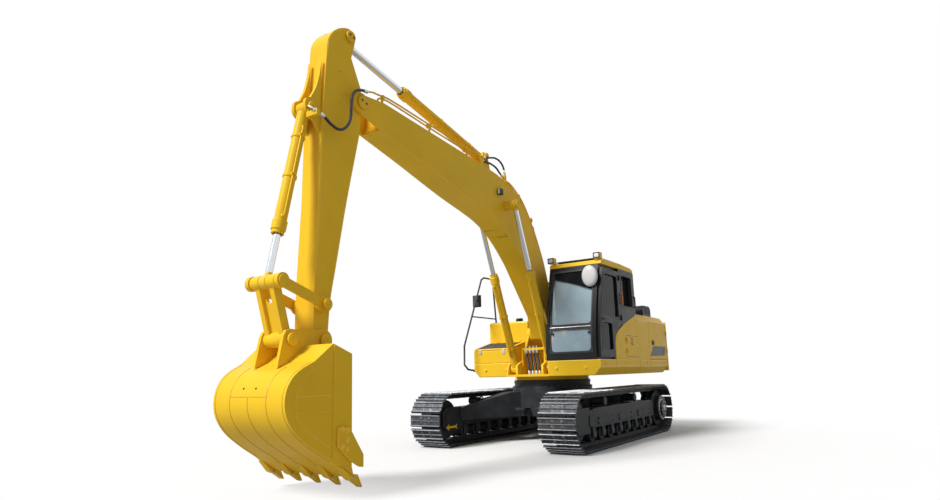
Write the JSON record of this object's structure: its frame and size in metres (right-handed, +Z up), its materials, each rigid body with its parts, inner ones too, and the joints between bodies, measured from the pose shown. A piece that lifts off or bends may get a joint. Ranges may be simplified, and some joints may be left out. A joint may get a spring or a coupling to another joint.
{
  "type": "crawler excavator",
  "caption": "Crawler excavator with a swinging upper structure, hinged cab door, service doors, and a boom, arm and bucket moved by cylinders.",
  "frame": {"origin": "on the ground under the swing axis", "axes": "+X forward to the boom, +Y to the cab side, +Z up"},
  "size_m": [9.43, 3.082, 5.49],
  "materials": {
    "yellow_paint": "satin",
    "black_paint": "satin",
    "track_steel": "worn",
    "chrome": "polished",
    "pin_steel": "satin",
    "glass": "polished",
    "trim": "matt",
    "lamp": "gloss"
  },
  "bodies": {
    "undercarriage": {"carbody": "black_paint", "swing_ring": "black_paint", "side_frames": "black_paint", "track_left": "track_steel", "track_right": "track_steel", "idlers": "track_steel", "sprockets": "track_steel", "lower_rollers": "track_steel", "carrier_rollers": "track_steel"},
    "upperstructure": {"revolving_frame": "yellow_paint", "frame_pins": "pin_steel", "left_deck": "yellow_paint", "right_deck": "yellow_paint", "counterweight": "yellow_paint", "engine": "black_paint", "top_cover": "yellow_paint", "bulkhead": "yellow_paint", "left_cover": "yellow_paint", "left_side_panel": "yellow_paint", "fuel_tank": "yellow_paint", "oil_tank": "yellow_paint", "toolbox": "yellow_paint", "cab_frame": "black_paint", "cab_roof": "yellow_paint", "cab_glass": "glass", "seat": "trim", "consoles": "trim", "handrails": "yellow_paint", "mirrors": "black_paint", "lamps": "lamp", "foot_hoses": "trim"},
    "hood": {"engine_hood": "yellow_paint", "intake_cowl": "black_paint"},
    "service_door": {"left_service_door": "yellow_paint"},
    "rear_door_left": {"left_rear_door": "yellow_paint"},
    "rear_door_right": {"right_rear_door": "yellow_paint"},
    "toolbox_cover": {"toolbox_lid": "yellow_paint"},
    "door": {"cab_door": "black_paint", "door_glass": "glass"},
    "boom_body": {"boom": "yellow_paint", "boom_pins": "pin_steel", "boom_lamp": "black_paint", "boom_hoses": "trim"},
    "boom_barrels": {"boom_cylinder_barrels": "yellow_paint"},
    "boom_rods": {"boom_cylinder_rods": "chrome"},
    "arm_body": {"arm": "yellow_paint", "arm_pins": "pin_steel", "arm_hose": "trim"},
    "arm_barrel": {"arm_cylinder_barrel": "yellow_paint"},
    "arm_rod": {"arm_cylinder_rod": "chrome"},
    "bucket_barrel": {"bucket_cylinder_barrel": "yellow_paint"},
    "bucket_rod": {"bucket_cylinder_rod": "chrome"},
    "levers": {"bucket_levers": "yellow_paint"},
    "link": {"bucket_link": "yellow_paint"},
    "bucket_body": {"bucket": "yellow_paint", "bucket_pins": "pin_steel", "bucket_teeth": "yellow_paint", "tooth_adapters": "yellow_paint", "side_cutters": "yellow_paint"}
  },
  "joints": [
    {"name": "swing", "type": "hinge", "parent": "undercarriage", "child": "upperstructure", "pos_m": [0, 0, 1.045], "axis": [0, 0, 1], "continuous": true},
    {"name": "boom_lift", "type": "hinge", "parent": "upperstructure", "child": "boom_body", "pos_m": [0.238, 0, 1.853], "axis": [0, -1, 0], "range_deg": [-72, 18]},
    {"name": "boom_barrel_turn", "type": "hinge", "parent": "upperstructure", "child": "boom_barrels", "pos_m": [0.686, 0, 1.248], "axis": [0, -1, 0], "range_deg": [-72, 19]},
    {"name": "boom_rod_slide", "type": "slide", "parent": "boom_barrels", "child": "boom_rods", "axis": [0.3786, 0, 0.9256], "range_m": [-0.89, 0.23]},
    {"name": "arm_swing", "type": "hinge", "parent": "boom_body", "child": "arm_body", "pos_m": [5.274, 0, 4.544], "axis": [0, 1, 0], "range_deg": [-75, 32]},
    {"name": "arm_barrel_turn", "type": "hinge", "parent": "boom_body", "child": "arm_barrel", "pos_m": [2.276, 0, 4.698], "axis": [0, 1, 0], "range_deg": [-2, 2]},
    {"name": "arm_rod_slide", "type": "slide", "parent": "arm_barrel", "child": "arm_rod", "axis": [0.9776, 0, 0.2104], "range_m": [-1, 0.44]},
    {"name": "bucket_curl", "type": "hinge", "parent": "arm_body", "child": "bucket_body", "pos_m": [5.824, 0, 1.582], "axis": [0, 1, 0], "range_deg": [-45, 120]},
    {"name": "lever_turn", "type": "hinge", "parent": "arm_body", "child": "levers", "pos_m": [5.839, 0, 1.976], "axis": [0, 1, 0], "range_deg": [-35, 86]},
    {"name": "link_turn", "type": "hinge", "parent": "bucket_body", "child": "link", "pos_m": [6.272, 0, 1.589], "axis": [0, 1, 0], "range_deg": [-77, 30]},
    {"name": "bucket_barrel_turn", "type": "hinge", "parent": "arm_body", "child": "bucket_barrel", "pos_m": [6.013, 0, 4.254], "axis": [0, 1, 0], "range_deg": [-3, 6]},
    {"name": "bucket_rod_slide", "type": "slide", "parent": "bucket_barrel", "child": "bucket_rod", "axis": [0.2057, 0, -0.9786], "range_m": [-0.31, 0.81]},
    {"name": "cab_door_swing", "type": "hinge", "parent": "upperstructure", "child": "door", "pos_m": [0.042, 1.432, 2.08], "axis": [0, 0, 1], "range_deg": [0, 165]},
    {"name": "service_door_swing", "type": "hinge", "parent": "upperstructure", "child": "service_door", "pos_m": [-0.143, 1.432, 1.5], "axis": [0, 0, 1], "range_deg": [-100, 0]},
    {"name": "left_rear_door_swing", "type": "hinge", "parent": "upperstructure", "child": "rear_door_left", "pos_m": [-2.435, 1.432, 1.55], "axis": [0, 0, -1], "range_deg": [-100, 0]},
    {"name": "right_rear_door_swing", "type": "hinge", "parent": "upperstructure", "child": "rear_door_right", "pos_m": [-1.12, -1.432, 1.55], "axis": [0, 0, 1], "range_deg": [0, 100]},
    {"name": "hood_lift", "type": "hinge", "parent": "upperstructure", "child": "hood", "pos_m": [-1.383, 0, 2.222], "axis": [0, 1, 0], "range_deg": [0, 55]},
    {"name": "toolbox_lid_lift", "type": "hinge", "parent": "upperstructure", "child": "toolbox_cover", "pos_m": [-0.132, -1, 1.782], "axis": [0, -1, 0], "range_deg": [0, 80]}
  ],
  "couplings": [
    {"joint": "boom_barrel_turn", "follows": "boom_lift", "ratio": 0.98},
    {"joint": "boom_rod_slide", "follows": "boom_lift", "m_per_rad": 0.69901},
    {"joint": "arm_barrel_turn", "follows": "arm_swing", "ratio": 0.01},
    {"joint": "arm_rod_slide", "follows": "arm_swing", "m_per_rad": 0.73339},
    {"joint": "lever_turn", "follows": "bucket_curl", "ratio": 0.69},
    {"joint": "link_turn", "follows": "bucket_curl", "ratio": -0.62},
    {"joint": "bucket_barrel_turn", "follows": "bucket_curl", "ratio": 0.035},
    {"joint": "bucket_rod_slide", "follows": "bucket_curl", "m_per_rad": 0.37815}
  ]
}
